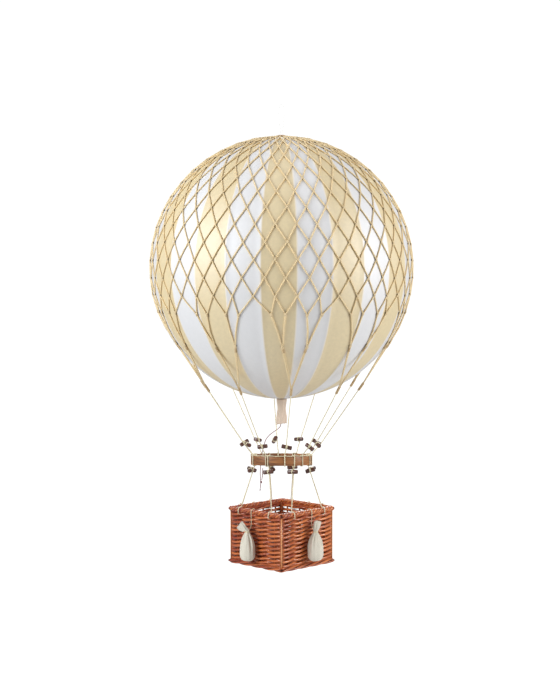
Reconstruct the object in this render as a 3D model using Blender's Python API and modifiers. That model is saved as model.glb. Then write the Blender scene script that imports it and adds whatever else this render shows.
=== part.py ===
"""A hanging model of a gas balloon: a papered ball in a knotted net, over a wooden hoop and a wicker basket.

Metres, +Z up. The origin is the top of the hanging loop, so the whole model lies below it on the Z axis.
Azimuths are counted from the basket corner that faces the viewer, and grow towards the viewer's right.
"""

import bmesh
import bpy
from math import cos, degrees, pi, radians, sin
from mathutils import Matrix, Vector

# Driving dimensions, in metres and degrees

FRONT_DEG = -45.0  # direction of the basket's front corner, counted from +X
GAP = 0.0003  # what touching pieces keep between them

BALL_Z = -0.1988  # centre of the papered ball
BALL_R = 0.1585
BALL_WALL = 0.003
BALL_BANDS = 26
GORES = 24
GORE_EDGE_DEG = -8.6  # azimuth of one seam between two gores
MOUTH_R = 0.0048

NET_CORD = 0.0014
NET_R = 0.1600  # radius of the knots' centres
NET_MESHES = 40
NET_ROWS = 13
NET_LOWEST_DEG = -11.3  # elevation of the lowest full row of knots
NET_ROW_STEP_DEG = 7.37
HEAD_RING_R = 0.0085  # the net's own ring of cord at the crown
GROUPS = 10  # crow's feet, each the end of four meshes
GROUP_DEG = 6.5  # azimuth of one crow's foot
# Elevation of each step of a crow's foot, and its strands' azimuths counted from the foot's own
FOOT_KNOTS = (-19.1, (-10.8, -4.7, 4.7, 10.8))
FOOT_MIDDLES = (-26.8, (-8.2, -5.5, 5.5, 8.2))
FOOT_STRANDS = (-34.1, (-5.9, 5.9))

STAY_CORD = 0.0012
STAY_JOIN = (0.100, -0.140)  # radius and height under the ball's centre, where a crow's foot ends
STAY_START = 0.0042  # from there to the stay's upper end, clear of the net's knot
STAY_TOGGLE = (0.0475, -0.2152)
TOGGLE_LENGTH = 0.0110
TOGGLE_R = 0.00235

HOOP_R = 0.0375
HOOP_WALL = 0.0030
HOOP_HEIGHT = 0.0118
HOOP_MIDDLE = -0.2340  # heights from here on are counted from the ball's centre
HOOP_TILT_DEG = 4.5  # the viewer's side hangs higher
HOOP_EDGE = 0.0006

NECK_WALL = 0.0007
NECK_PROFILE = ((0.0063, -0.1591), (0.0056, -0.1631), (0.0053, -0.1731), (0.0056, -0.1900))

BASKET_HALF = 0.0476  # half of the rim's outer width
BASKET_CORNER_R = 0.0036
SHARPEST_R = 0.0003
RIM_R = 0.0030
RIM_TOP = -0.2910
BASE_R = 0.0028
BASE_BOTTOM = -0.3612
WALL_HALF = 0.0435  # to the middle of the woven wall
WALL_DEPTH = 0.0027  # from there to the crest of a rod
WEAVE_ROWS = 12
WEAVE_RELIEF = 0.0009
FLOOR_THICKNESS = 0.0024

BASKET_LINE_FROM_CORNER = 0.0216
BASKET_LINE_SPREAD_DEG = 25.0  # at the hoop, to each side of a corner's direction
BASKET_LINE_TUCK = 0.0070  # how far a line reaches down outside, under the rim's top
BASKET_TOGGLE_SHARE = 0.13  # how far down its line a toggle lies

BAG_OFFSET = 0.0035  # along the wall, from its middle towards a side corner
BAG_OUT = 0.0086  # from the wall's crests to the bag's middle
BAG_FLATNESS = 0.78
BAG_PROFILE = (  # radius and height, from the tuft down
    (0.0, -0.3036), (0.0050, -0.3041), (0.0047, -0.3085), (0.0034, -0.3138), (0.0028, -0.3170),
    (0.0040, -0.3202), (0.0068, -0.3255), (0.0093, -0.3330), (0.0103, -0.3405), (0.0097, -0.3466),
    (0.0069, -0.3508), (0.0, -0.3522),
)
BAG_NECK = 4  # which point of the profile is tied
BAG_CORD = 0.0009
BAG_CORD_BEND = (0.0020, 0.0070)  # out from the crests and up from the neck

LOOP_CORD = 0.0006
LOOP_HALF_WIDTH = 0.0045
LOOP_FOOT = 0.35  # the foot's width as a share of the head's
CROWN_R = 0.0052
CROWN_HEIGHT = 0.0024

VALVE_CORD = 0.0009
VALVE_STEP = 0.0028
# Sideways, towards the viewer and up from the ball's centre
VALVE_ROUTE = (
    (-0.0010, 0.0000, -0.1890), (-0.0012, 0.0012, -0.1925), (-0.0045, 0.0080, -0.1955),
    (-0.0100, 0.0180, -0.1982), (-0.0155, 0.0275, -0.2018), (-0.0190, 0.0335, -0.2062),
    (-0.0208, 0.0350, -0.2115), (-0.0222, 0.0310, -0.2175), (-0.0234, 0.0248, -0.2228),
    (-0.0242, 0.0212, -0.2285), (-0.0250, 0.0200, -0.2350), (-0.0256, 0.0196, -0.2420),
    (-0.0258, 0.0200, -0.2490), (-0.0254, 0.0206, -0.2560), (-0.0252, 0.0210, -0.2610),
    (-0.0258, 0.0212, -0.2665),
)
VALVE_TAIL_ROUTE = (
    (-0.0226, 0.0240, -0.2412), (-0.0228, 0.0238, -0.2460), (-0.0232, 0.0232, -0.2510),
    (-0.0239, 0.0222, -0.2560),
)

# Turn of each toggle about its cord, in degrees, as the cords happen to lie
STAY_TOGGLE_TURNS = (20, 75, -35, -60, 10, 80, -20, 55, 5, -15)
BASKET_TOGGLE_TURNS = (15, -70, 40, -10, 60, -45, 0, 30)

# Scene and materials

for old in list(bpy.data.objects):
    bpy.data.objects.remove(old)
balloon = bpy.data.collections.new("hot_air_balloon")
helpers = bpy.data.collections.new("helpers")
bpy.context.scene.collection.children.link(balloon)
bpy.context.scene.collection.children.link(helpers)


def material(name, colour, roughness, metallic=0.0):
    made = bpy.data.materials.new(name)
    made.use_nodes = True
    shader = made.node_tree.nodes["Principled BSDF"]
    shader.inputs["Base Color"].default_value = (*colour, 1.0)
    shader.inputs["Roughness"].default_value = roughness
    shader.inputs["Metallic"].default_value = metallic
    return made


paper = material("pearl_paper", (0.80, 0.70, 0.50), 0.32)
net_cord = material("tan_cord", (0.70, 0.52, 0.30), 0.85)
pale_cord = material("pale_cord", (0.78, 0.74, 0.58), 0.85)
hoop_wood = material("hoop_wood", (0.38, 0.19, 0.08), 0.45)
toggle_wood = material("toggle_wood", (0.10, 0.045, 0.03), 0.40)
wicker = material("varnished_wicker", (0.42, 0.13, 0.045), 0.35)
calico = material("calico", (0.68, 0.64, 0.54), 0.90)
neck_cloth = material("neck_cloth", (0.72, 0.60, 0.46), 0.80)
nylon = material("clear_nylon", (0.90, 0.90, 0.88), 0.10)
red_thread = material("red_thread", (0.35, 0.03, 0.05), 0.80)


# Shared shapes

def polar(radius, azimuth, height):
    """A point by its distance from the axis, its azimuth in degrees and its height over the ball's centre."""
    turn = radians(FRONT_DEG + azimuth)
    return Vector((radius * cos(turn), radius * sin(turn), BALL_Z + height))


def viewed(sideways, forward, height):
    """A point by its place to the viewer's right, towards the viewer, and over the ball's centre."""
    front = radians(FRONT_DEG)
    right = Vector((-sin(front), cos(front), 0.0))
    towards = Vector((cos(front), sin(front), 0.0))
    return right * sideways + towards * forward + Vector((0.0, 0.0, BALL_Z + height))


hoop_tilt = Matrix.Rotation(radians(-HOOP_TILT_DEG), 3, viewed(1.0, 0.0, -BALL_Z))


def add(name, data, look):
    made = bpy.data.objects.new(name, data)
    balloon.objects.link(made)
    data.materials.append(look)
    return made


def adopt(name, look):
    """Names the primitive just added, and moves it to the balloon's collection."""
    made = bpy.context.object
    made.name = made.data.name = name
    for holder in made.users_collection:
        holder.objects.unlink(made)
    balloon.objects.link(made)
    made.data.materials.append(look)
    return made


def tube(name, points, diameter, look, sides=6, closed=False):
    """A cord: a bevelled poly line through the points, with flat ends."""
    curve = bpy.data.curves.new(name, "CURVE")
    curve.dimensions = "3D"
    curve.bevel_depth = diameter / 2
    curve.bevel_resolution = sides // 2 - 2
    curve.use_fill_caps = True
    line = curve.splines.new("POLY")
    line.points.add(len(points) - 1)
    for place, point in zip(line.points, points):
        place.co = (*point, 1.0)
    line.use_cyclic_u = closed
    return add(name, curve, look)


def smooth_route(points, spacing):
    """Points along one smooth curve through the given ones, about a spacing apart."""
    ends = [points[0] * 2 - points[1], *points, points[-1] * 2 - points[-2]]
    route = []
    for before, start, end, after in zip(ends, ends[1:], ends[2:], ends[3:]):
        steps = max(1, round((end - start).length / spacing))
        for step in range(steps):
            t = step / steps
            route.append(
                0.5 * (2 * start + (end - before) * t
                       + (2 * before - 5 * start + 4 * end - after) * t * t
                       + (3 * start - 3 * end + after - before) * t ** 3)
            )
    return route + [points[-1]]


def turned(name, profile, look, steps=48):
    """A turned shape: a profile of radius and height, spun about the axis."""
    mesh = bpy.data.meshes.new(name)
    points = [(radius, 0.0, height) for radius, height in profile]
    edges = [(i, i + 1) for i in range(len(points) - 1)]
    mesh.from_pydata(points, edges, [])
    made = add(name, mesh, look)
    screw = made.modifiers.new("Turn", "SCREW")
    screw.steps = screw.render_steps = steps
    screw.use_merge_vertices = True
    screw.merge_threshold = 0.00001
    screw.use_smooth_shade = True
    return made


def on_hoop(radius, azimuth, height):
    """A point of the tilted hoop: distance from the hoop's own axis, azimuth, and height over its middle."""
    middle = Vector((0.0, 0.0, BALL_Z + HOOP_MIDDLE))
    return middle + hoop_tilt @ (polar(radius, azimuth, HOOP_MIDDLE + height) - middle)


def square_path(half, corner_radius, corner_steps=3):
    """The corners of a square with round corners, anticlockwise from above, in its own plane."""
    inner = half - corner_radius
    points = []
    for quarter in range(4):
        middle = Vector((inner, inner)) if quarter % 2 == 0 else Vector((-inner, inner))
        middle = middle if quarter < 2 else -middle
        for step in range(corner_steps + 1):
            turn = (quarter + step / corner_steps) * pi / 2
            points.append(middle + corner_radius * Vector((cos(turn), sin(turn))))
    return points


def square_ring(name, half, corner_radius, section, look):
    """A section carried round a square. Its points say how far outside the square they lie, and how high."""
    ring = bmesh.new()
    loops = []
    for out, height in section:
        path = square_path(half + out, max(corner_radius + out, SHARPEST_R))
        loops.append([ring.verts.new((*point, BALL_Z + height)) for point in path])
    for loop, following in zip(loops, loops[1:] + loops[:1]):
        for i, corner in enumerate(loop):
            ring.faces.new((loop[i - 1], corner, following[i], following[i - 1]))
    bmesh.ops.recalc_face_normals(ring, faces=ring.faces)
    mesh = bpy.data.meshes.new(name)
    ring.to_mesh(mesh)
    ring.free()
    return add(name, mesh, look)


# The papered ball and its neck

def make_envelope():
    """A thin shell of paper, open only at its mouth. Its facets meet on the seams of the gores."""
    lowest = -90 + degrees(MOUTH_R / BALL_R)
    elevations = [90 + (lowest - 90) * band / BALL_BANDS for band in range(BALL_BANDS + 1)]
    profile = [(BALL_R * cos(radians(a)), BALL_R * sin(radians(a))) for a in elevations]
    inner_r = BALL_R - BALL_WALL
    profile += [(inner_r * cos(radians(a)), inner_r * sin(radians(a))) for a in elevations[::-2]]
    profile[0] = (0.0, BALL_R)
    profile[-1] = (0.0, inner_r)
    ball = turned("envelope", profile, paper, steps=2 * GORES)
    ball.location.z = BALL_Z
    ball.rotation_euler.z = radians(FRONT_DEG + GORE_EDGE_DEG)


def make_neck():
    """The filling neck: a soft tube of cloth that hangs from the ball's mouth."""
    inner = [(radius - NECK_WALL, height) for radius, height in reversed(NECK_PROFILE)]
    neck = turned("neck", [*NECK_PROFILE, *inner, NECK_PROFILE[0]], neck_cloth, steps=20)
    neck.location.z = BALL_Z


def make_crown():
    """A wooden button over the net's head ring, and the loop of clear line that the model hangs by."""
    seat = BALL_R + GAP
    bottom = Vector((0.0, 0.0, BALL_Z + seat))
    bpy.ops.mesh.primitive_cylinder_add(vertices=20, radius=CROWN_R, depth=CROWN_HEIGHT,
                                        location=bottom + Vector((0.0, 0.0, CROWN_HEIGHT / 2)))
    button = adopt("crown_button", hoop_wood)
    rounding = button.modifiers.new("Round", "BEVEL")
    rounding.width = 0.0005
    rounding.segments = 1

    low = BALL_Z + seat + CROWN_HEIGHT + GAP + LOOP_CORD / 2
    high = -LOOP_CORD / 2
    points = []
    for step in range(20):
        turn = 2 * pi * step / 20
        rise = (1 - cos(turn)) / 2
        width = LOOP_HALF_WIDTH * sin(turn) * (LOOP_FOOT + (1 - LOOP_FOOT) * rise)
        points.append(viewed(width, 0.0, low + (high - low) * rise - BALL_Z))
    tube("hanging_loop", points, LOOP_CORD, nylon, closed=True)


# The net and its crow's feet

def make_net():
    """The knotted net in one piece: a lattice of knots laid on the ball, each edge of which becomes a cord."""
    sheet = bmesh.new()
    half_mesh = 180 / NET_MESHES
    meshes_in_group = NET_MESHES // GROUPS

    def knot(azimuth, elevation):
        tilt = radians(elevation)
        return sheet.verts.new(polar(NET_R * cos(tilt), azimuth, NET_R * sin(tilt)))

    def knots(centre, step):
        elevation, turns = step
        return [knot(centre + turn, elevation) for turn in turns]

    def face(*corners):
        sheet.faces.new(corners)

    rows = []
    for row in range(NET_ROWS):
        shift = GROUP_DEG + half_mesh * (row % 2)
        elevation = NET_LOWEST_DEG + NET_ROW_STEP_DEG * row
        rows.append([knot(shift + 2 * half_mesh * mesh, elevation) for mesh in range(NET_MESHES)])

    # Full meshes: a knot, its two neighbours in the next row up, and the knot over them
    for row in range(NET_ROWS - 2):
        for mesh in range(NET_MESHES):
            left = mesh - 1 if row % 2 == 0 else mesh
            right = (left + 1) % NET_MESHES
            face(rows[row][mesh], rows[row + 1][right], rows[row + 2][mesh], rows[row + 1][left])

    # The crown: the strands meet in pairs on the head ring
    ring_elevation = 90 - degrees(HEAD_RING_R / NET_R)
    top, under = rows[-1], rows[-2]
    pairs = NET_MESHES // 2
    ring = [knot(GROUP_DEG + half_mesh * (4 * pair + 1), ring_elevation) for pair in range(pairs)]
    for pair in range(pairs):
        first, second, third = (top[(2 * pair + i) % NET_MESHES] for i in range(3))
        face(under[2 * pair], second, ring[pair], first)
        face(under[2 * pair + 1], third, ring[(pair + 1) % pairs], ring[pair], second)

    # The crow's feet: four meshes end in two strands, and these in one stay
    for group in range(GROUPS):
        centre = GROUP_DEG + 360 / GROUPS * group
        first = meshes_in_group * group
        low = [rows[0][(first + i) % NET_MESHES] for i in (-2, -1, 0, 1, 2)]
        over = [rows[1][(first + i) % NET_MESHES] for i in (-2, -1, 0, 1)]
        feet, middles = knots(centre, FOOT_KNOTS), knots(centre, FOOT_MIDDLES)
        left, right = knots(centre, FOOT_STRANDS)
        join = sheet.verts.new(polar(STAY_JOIN[0], centre, STAY_JOIN[1]))
        for i in range(4):
            face(feet[i], low[i + 1], over[i], low[i])
        face(left, middles[1], feet[1], low[1], feet[0], middles[0])
        face(right, middles[3], feet[3], low[3], feet[2], middles[2])
        face(join, right, middles[2], feet[2], low[2], feet[1], middles[1], left)

    bmesh.ops.recalc_face_normals(sheet, faces=sheet.faces)
    mesh = bpy.data.meshes.new("net")
    sheet.to_mesh(mesh)
    sheet.free()
    net = add("net", mesh, net_cord)
    cords = net.modifiers.new("Cords", "WIREFRAME")
    cords.thickness = NET_CORD
    cords.offset = 0.0
    cords.use_boundary = True
    cords.use_even_offset = True


# The stays, the hoop and the toggles

def toggle(name, cord_start, cord_end, share, turn):
    """A wooden toggle lying across its cord, a gap away from it."""
    along = (cord_end - cord_start).normalized()
    level = Vector((0.0, 0.0, 1.0)).cross(along).normalized()
    axis = Matrix.Rotation(radians(turn), 3, along) @ level
    side = along.cross(axis).normalized()
    centre = cord_start.lerp(cord_end, share) + side * (TOGGLE_R + STAY_CORD / 2 + GAP)
    bpy.ops.mesh.primitive_cylinder_add(vertices=12, radius=TOGGLE_R, depth=TOGGLE_LENGTH, location=centre)
    made = adopt(name, toggle_wood)
    made.rotation_mode = "QUATERNION"
    made.rotation_quaternion = axis.to_track_quat("Z", "Y")


def make_hoop():
    """The load hoop: a flat wooden ring between the stays and the basket's lines, with rounded edges."""
    inner, high = HOOP_R - HOOP_WALL, HOOP_HEIGHT / 2
    rounded_inner, rounded_outer, rounded_high = inner + HOOP_EDGE, HOOP_R - HOOP_EDGE, high - HOOP_EDGE
    profile = [
        (rounded_inner, high), (rounded_outer, high), (HOOP_R, rounded_high), (HOOP_R, -rounded_high),
        (rounded_outer, -high), (rounded_inner, -high), (inner, -rounded_high), (inner, rounded_high),
        (rounded_inner, high),
    ]
    hoop = turned("hoop", profile, hoop_wood, steps=40)
    hoop.matrix_world = Matrix.Translation((0.0, 0.0, BALL_Z + HOOP_MIDDLE)) @ hoop_tilt.to_4x4()


def make_stays():
    """Ten stays, each from its crow's foot past its toggle to the hoop's upper edge."""
    for number in range(GROUPS):
        azimuth = GROUP_DEG + 360 / GROUPS * number
        join = polar(STAY_JOIN[0], azimuth, STAY_JOIN[1])
        at_toggle = polar(STAY_TOGGLE[0], azimuth, STAY_TOGGLE[1])
        foot = on_hoop(HOOP_R - HOOP_WALL / 2, azimuth, (HOOP_HEIGHT + STAY_CORD) / 2 + GAP)
        start = join + (at_toggle - join).normalized() * STAY_START
        tube(f"stay_{number + 1:02d}", [start, at_toggle, foot], STAY_CORD, pale_cord)
        toggle(f"stay_toggle_{number + 1:02d}", start, at_toggle, 1.0, STAY_TOGGLE_TURNS[number])


def over_rim(angle, along, wall, reach):
    """A point round the rim of one wall: its angle over level outwards, and its distance from the middle."""
    out = BASKET_HALF - RIM_R + reach * cos(radians(angle))
    height = RIM_TOP - RIM_R + reach * sin(radians(angle))
    return Matrix.Rotation(wall * pi / 2, 3, "Z") @ Vector((out, along, BALL_Z + height))


def make_basket_lines():
    """Eight lines, two to each corner of the basket, from the hoop over the rim and tucked in outside."""
    reach = RIM_R + GAP + STAY_CORD / 2
    place = BASKET_HALF - BASKET_LINE_FROM_CORNER
    number = 0
    for wall in range(4):
        for side in (-1, 1):
            hoop_turn = wall * 90 + side * (45 - BASKET_LINE_SPREAD_DEG) - FRONT_DEG
            head = on_hoop(HOOP_R - HOOP_WALL / 2, hoop_turn, -(HOOP_HEIGHT + STAY_CORD) / 2 - GAP)
            bend = [over_rim(angle, side * place, wall, reach) for angle in (115, 80, 45, 10)]
            tail = over_rim(0, side * place, wall, reach)
            tail.z = BALL_Z + RIM_TOP - BASKET_LINE_TUCK
            tube(f"basket_line_{number + 1}", [head, *bend, tail], STAY_CORD, pale_cord)
            turn = BASKET_TOGGLE_TURNS[number]
            toggle(f"basket_toggle_{number + 1}", head, bend[0], BASKET_TOGGLE_SHARE, turn)
            number += 1


# The basket

def round_section(radius, middle_height, sides):
    turns = [2 * pi * side / sides for side in range(sides)]
    return [(radius * cos(turn), middle_height + radius * sin(turn)) for turn in turns]


def make_basket():
    """A hollow square basket: a thick rim, woven walls of stacked rods, a base border and a floor."""
    rim = round_section(RIM_R, RIM_TOP - RIM_R, 12)
    square_ring("basket_rim", BASKET_HALF - RIM_R, BASKET_CORNER_R - RIM_R, rim, wicker)
    base = round_section(BASE_R, BASE_BOTTOM + BASE_R, 12)
    square_ring("basket_base", BASKET_HALF - BASE_R, BASKET_CORNER_R - BASE_R, base, wicker)

    wall_top = RIM_TOP - 2 * RIM_R - GAP
    wall_bottom = BASE_BOTTOM + 2 * BASE_R + GAP
    row = (wall_top - wall_bottom) / WEAVE_ROWS
    outer = [(WALL_DEPTH - WEAVE_RELIEF, wall_top)]
    for number in range(WEAVE_ROWS):
        outer.append((WALL_DEPTH, wall_top - row * (number + 0.5)))
        outer.append((WALL_DEPTH - WEAVE_RELIEF, wall_top - row * (number + 1)))
    inner = [(-depth, height) for depth, height in reversed(outer)]
    square_ring("basket_wall", WALL_HALF, 0.0, outer + inner, wicker)

    outline = bpy.data.curves.new("basket_floor", "CURVE")
    outline.dimensions = "2D"
    outline.fill_mode = "BOTH"
    outline.extrude = FLOOR_THICKNESS / 2
    edge = outline.splines.new("POLY")
    corners = square_path(WALL_HALF - WALL_DEPTH - GAP, 2 * GAP)
    edge.points.add(len(corners) - 1)
    for place, point in zip(edge.points, corners):
        place.co = (*point, 0.0, 1.0)
    edge.use_cyclic_u = True
    floor = add("basket_floor", outline, wicker)
    floor.location.z = BALL_Z + wall_bottom + FLOOR_THICKNESS


# The sandbags, each hinged on the rim by its cord

def make_sandbags():
    """Four calico sandbags that hang outside the walls on cords over the rim and can swing outwards."""
    reach = RIM_R + GAP + BAG_CORD / 2
    crests = WALL_HALF + WALL_DEPTH
    neck_radius, neck_height = BAG_PROFILE[BAG_NECK]
    cord_out, cord_up = BAG_CORD_BEND
    for wall in range(4):
        along = BAG_OFFSET * (1 if wall % 2 == 0 else -1)
        turn = Matrix.Rotation(wall * pi / 2, 4, "Z")
        out = crests + BAG_OUT
        hinge = bpy.data.objects.new(f"sandbag_hinge_{wall + 1}", None)
        helpers.objects.link(hinge)
        hinge.location = over_rim(0, along, wall, 0.0)

        bag = turned(f"sandbag_{wall + 1}", BAG_PROFILE, calico, steps=14)
        bag.matrix_world = (turn @ Matrix.Translation((out, along, BALL_Z))
                            @ Matrix.Diagonal((BAG_FLATNESS, 1.0, 1.0, 1.0)))
        behind_neck = out - neck_radius * BAG_FLATNESS - BAG_CORD / 2 - GAP
        at_neck = turn @ Vector((behind_neck, along, BALL_Z + neck_height))
        between = turn @ Vector((crests + cord_out, along, BALL_Z + neck_height + cord_up))
        hook = [over_rim(angle, along, wall, reach) for angle in (100, 70, 35, 0)]
        cord = tube(f"sandbag_cord_{wall + 1}", [*hook, between, at_neck], BAG_CORD, pale_cord)
        for piece in (bag, cord):
            piece.parent = hinge
            piece.matrix_parent_inverse = Matrix.Translation(-hinge.location)


# The valve line

def make_valve_line():
    """The red thread from the neck, caught at a toggle and hanging free through the hoop to a knot."""
    route = smooth_route([viewed(*point) for point in VALVE_ROUTE], VALVE_STEP)
    tube("valve_line", route, VALVE_CORD, red_thread, sides=8)
    tail = smooth_route([viewed(*point) for point in VALVE_TAIL_ROUTE], VALVE_STEP)
    tube("valve_line_tail", tail, VALVE_CORD, red_thread, sides=8)


make_envelope()
make_neck()
make_crown()
make_net()
make_hoop()
make_stays()
make_basket_lines()
make_basket()
make_sandbags()
make_valve_line()
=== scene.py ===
import random
from math import atan2, cos, hypot, pi, radians, sin, tau

import bmesh
import bpy
import numpy as np
from mathutils import Matrix, Vector


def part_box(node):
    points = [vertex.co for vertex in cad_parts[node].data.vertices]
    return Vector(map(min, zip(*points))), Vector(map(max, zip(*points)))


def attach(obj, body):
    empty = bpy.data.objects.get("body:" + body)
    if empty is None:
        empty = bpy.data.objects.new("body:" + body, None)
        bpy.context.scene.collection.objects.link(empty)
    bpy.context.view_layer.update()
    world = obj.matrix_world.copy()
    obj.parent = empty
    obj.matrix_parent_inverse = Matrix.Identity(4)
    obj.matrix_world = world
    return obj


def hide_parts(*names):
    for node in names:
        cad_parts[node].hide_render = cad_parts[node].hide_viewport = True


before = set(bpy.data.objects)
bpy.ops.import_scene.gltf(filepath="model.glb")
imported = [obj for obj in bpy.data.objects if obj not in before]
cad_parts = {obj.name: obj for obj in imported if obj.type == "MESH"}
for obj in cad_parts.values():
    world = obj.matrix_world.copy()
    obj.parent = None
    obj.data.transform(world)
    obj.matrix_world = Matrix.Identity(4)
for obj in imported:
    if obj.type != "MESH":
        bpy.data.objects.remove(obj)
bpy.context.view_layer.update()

# The view. The camera stands level with the ball, in front of the basket's front corner. White room, pale floor,
# a large soft light on each side and weaker ones overhead and behind.

BALL_Z = -0.1988  # centre of the ball, under the top of the hanging loop
FRONT_DEG = -45.0  # direction of the basket's front corner
CAMERA_DISTANCE = 1.829
CAMERA_AIM = (-0.0018, 0.0, -0.0995)  # sideways, towards the viewer, and up from the ball's centre
FLOOR_Z = -1.05
ROOM_GLOW = (0.385, 1.05)  # on the object, and as the camera sees it
FLOOR_GLOW = 0.85  # to the camera alone


def from_centre(sideways, towards, up):
    """A point by its distance from the ball's centre: to the viewer's right, towards the viewer, and up."""
    front = radians(FRONT_DEG)
    right = Vector((-sin(front), cos(front), 0.0))
    near = Vector((cos(front), sin(front), 0.0))
    return right * sideways + near * towards + Vector((0.0, 0.0, BALL_Z + up))


def added(name, data):
    thing = bpy.data.objects.new(name, data)
    bpy.context.scene.collection.objects.link(thing)
    return thing


def point_at(thing, target):
    thing.rotation_mode = "QUATERNION"
    thing.rotation_quaternion = (target - thing.location).to_track_quat("-Z", "Y")


def soft_light(name, place, width, height, power, colour=(1.0, 1.0, 1.0)):
    lamp = bpy.data.lights.new(name, "AREA")
    lamp.shape = "RECTANGLE"
    lamp.size, lamp.size_y = width, height
    lamp.energy = power
    lamp.color = colour
    holder = added(name, lamp)
    holder.location = from_centre(*place)
    point_at(holder, from_centre(0.0, 0.0, -0.08))


def smooth_mesh(name, shape):
    mesh = bpy.data.meshes.new(name)
    shape.to_mesh(mesh)
    shape.free()
    mesh.shade_smooth()
    return mesh


def fill(socket, value):
    """Gives a shader node's socket a value, or a link from another node's socket."""
    if isinstance(value, bpy.types.NodeSocket):
        socket.id_data.links.new(value, socket)
    elif value is not None:
        socket.default_value = value


def node(tree, kind, *values, **settings):
    """A shader node, with values for its sockets in order, and its settings."""
    made = tree.nodes.new("ShaderNode" + kind)
    for name, value in settings.items():
        setattr(made, name, value)
    for socket, value in zip(made.inputs, values):
        fill(socket, value)
    return made


def maths(tree, operation, *values):
    return node(tree, "Math", *values, operation=operation).outputs[0]


def feed(made, **values):
    """Fills a node's sockets by name. Underscores stand for spaces."""
    for label, value in values.items():
        fill(made.inputs[label.replace("_", " ")], value)
    return made


def material(name, roughness, **sockets):
    """A material with one Principled shader, and constants on the shader's own sockets."""
    look = bpy.data.materials.new(name)
    look.use_nodes = True
    return look, look.node_tree, feed(look.node_tree.nodes["Principled BSDF"], Roughness=roughness, **sockets)


camera = added("camera", bpy.data.cameras.new("camera"))
camera.data.sensor_width = 36.0
camera.data.lens = 77.14
camera.location = from_centre(CAMERA_AIM[0], CAMERA_DISTANCE, 0.0)
point_at(camera, from_centre(*CAMERA_AIM))
bpy.context.scene.camera = camera

soft_light("left_light", (-1.38, 0.78, 0.45), 0.6, 0.9, 20.5, (0.94, 0.97, 1.0))
soft_light("right_light", (1.40, 0.50, 0.25), 0.5, 1.0, 14.0, (0.99, 0.995, 1.0))
soft_light("top_light", (0.0, 0.10, 1.50), 1.2, 1.2, 4.5)
soft_light("back_light", (0.3, -1.60, 0.55), 1.0, 1.0, 15.0)

bpy.context.scene.view_settings.view_transform = "Standard"
room = bpy.data.worlds.new("white_room")
bpy.context.scene.world = room
room.use_nodes = True
tree = room.node_tree
brightness = node(tree, "Mix", node(tree, "LightPath").outputs["Is Camera Ray"], None, *ROOM_GLOW).outputs[0]
feed(tree.nodes["Background"], Strength=brightness, Color=(1.0, 1.0, 1.0, 1.0))

ground = bmesh.new()
bmesh.ops.create_grid(ground, x_segments=1, y_segments=1, size=9.0)
bmesh.ops.translate(ground, verts=ground.verts, vec=(0.0, 0.0, FLOOR_Z))
floor = added("floor", smooth_mesh("floor", ground))
pale, tree, shader = material("pale_floor", 0.9, Base_Color=(0.70, 0.70, 0.69, 1.0))
glow = maths(tree, "MULTIPLY", node(tree, "LightPath").outputs["Is Camera Ray"], FLOOR_GLOW)
feed(shader, Emission_Color=(1.0, 1.0, 1.0, 1.0), Emission_Strength=glow)
floor.data.materials.append(pale)

# The valve line: two plies of thread, one burgundy and one pink, that leave the neck, catch at a toggle and
# hang free through the hoop to a knot with a frayed end. It is made first, as the only cord that hangs free.

VALVE_CORD = 0.0009
VALVE_ROUTE = (  # sideways, towards the viewer, and up from the ball's centre
    (-0.0010, 0.0000, -0.1890), (-0.0012, 0.0012, -0.1925), (-0.0045, 0.0080, -0.1955),
    (-0.0100, 0.0180, -0.1982), (-0.0155, 0.0275, -0.2018), (-0.0190, 0.0335, -0.2062),
    (-0.0208, 0.0350, -0.2115), (-0.0222, 0.0310, -0.2175), (-0.0234, 0.0248, -0.2228),
    (-0.0242, 0.0212, -0.2285), (-0.0250, 0.0200, -0.2350), (-0.0256, 0.0196, -0.2420),
    (-0.0258, 0.0200, -0.2490), (-0.0254, 0.0206, -0.2560), (-0.0252, 0.0210, -0.2610),
    (-0.0258, 0.0212, -0.2665),
)
VALVE_TAIL_ROUTE = (
    (-0.0226, 0.0240, -0.2412), (-0.0228, 0.0238, -0.2460), (-0.0232, 0.0232, -0.2510),
    (-0.0239, 0.0222, -0.2560),
)


def smooth_route(points, spacing):
    """Points along one smooth curve through the given ones, about a spacing apart."""
    ends = [points[0] * 2 - points[1], *points, points[-1] * 2 - points[-2]]
    route = []
    for before, start, end, after in zip(ends, ends[1:], ends[2:], ends[3:]):
        steps = max(1, round((end - start).length / spacing))
        for step in range(steps):
            t = step / steps
            route.append(0.5 * (2 * start + (end - before) * t
                                + (2 * before - 5 * start + 4 * end - after) * t * t
                                + (3 * start - 3 * end + after - before) * t ** 3))
    return route + [points[-1]]


def wound(start, end, side, other, turns, steps):
    """Turns of cord round the line from start to end. side and other are two radii at right angles."""
    route = []
    for step in range(steps + 1):
        turn = tau * turns * step / steps
        route.append(start.lerp(end, step / steps) + side * cos(turn) + other * sin(turn))
    return route


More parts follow.
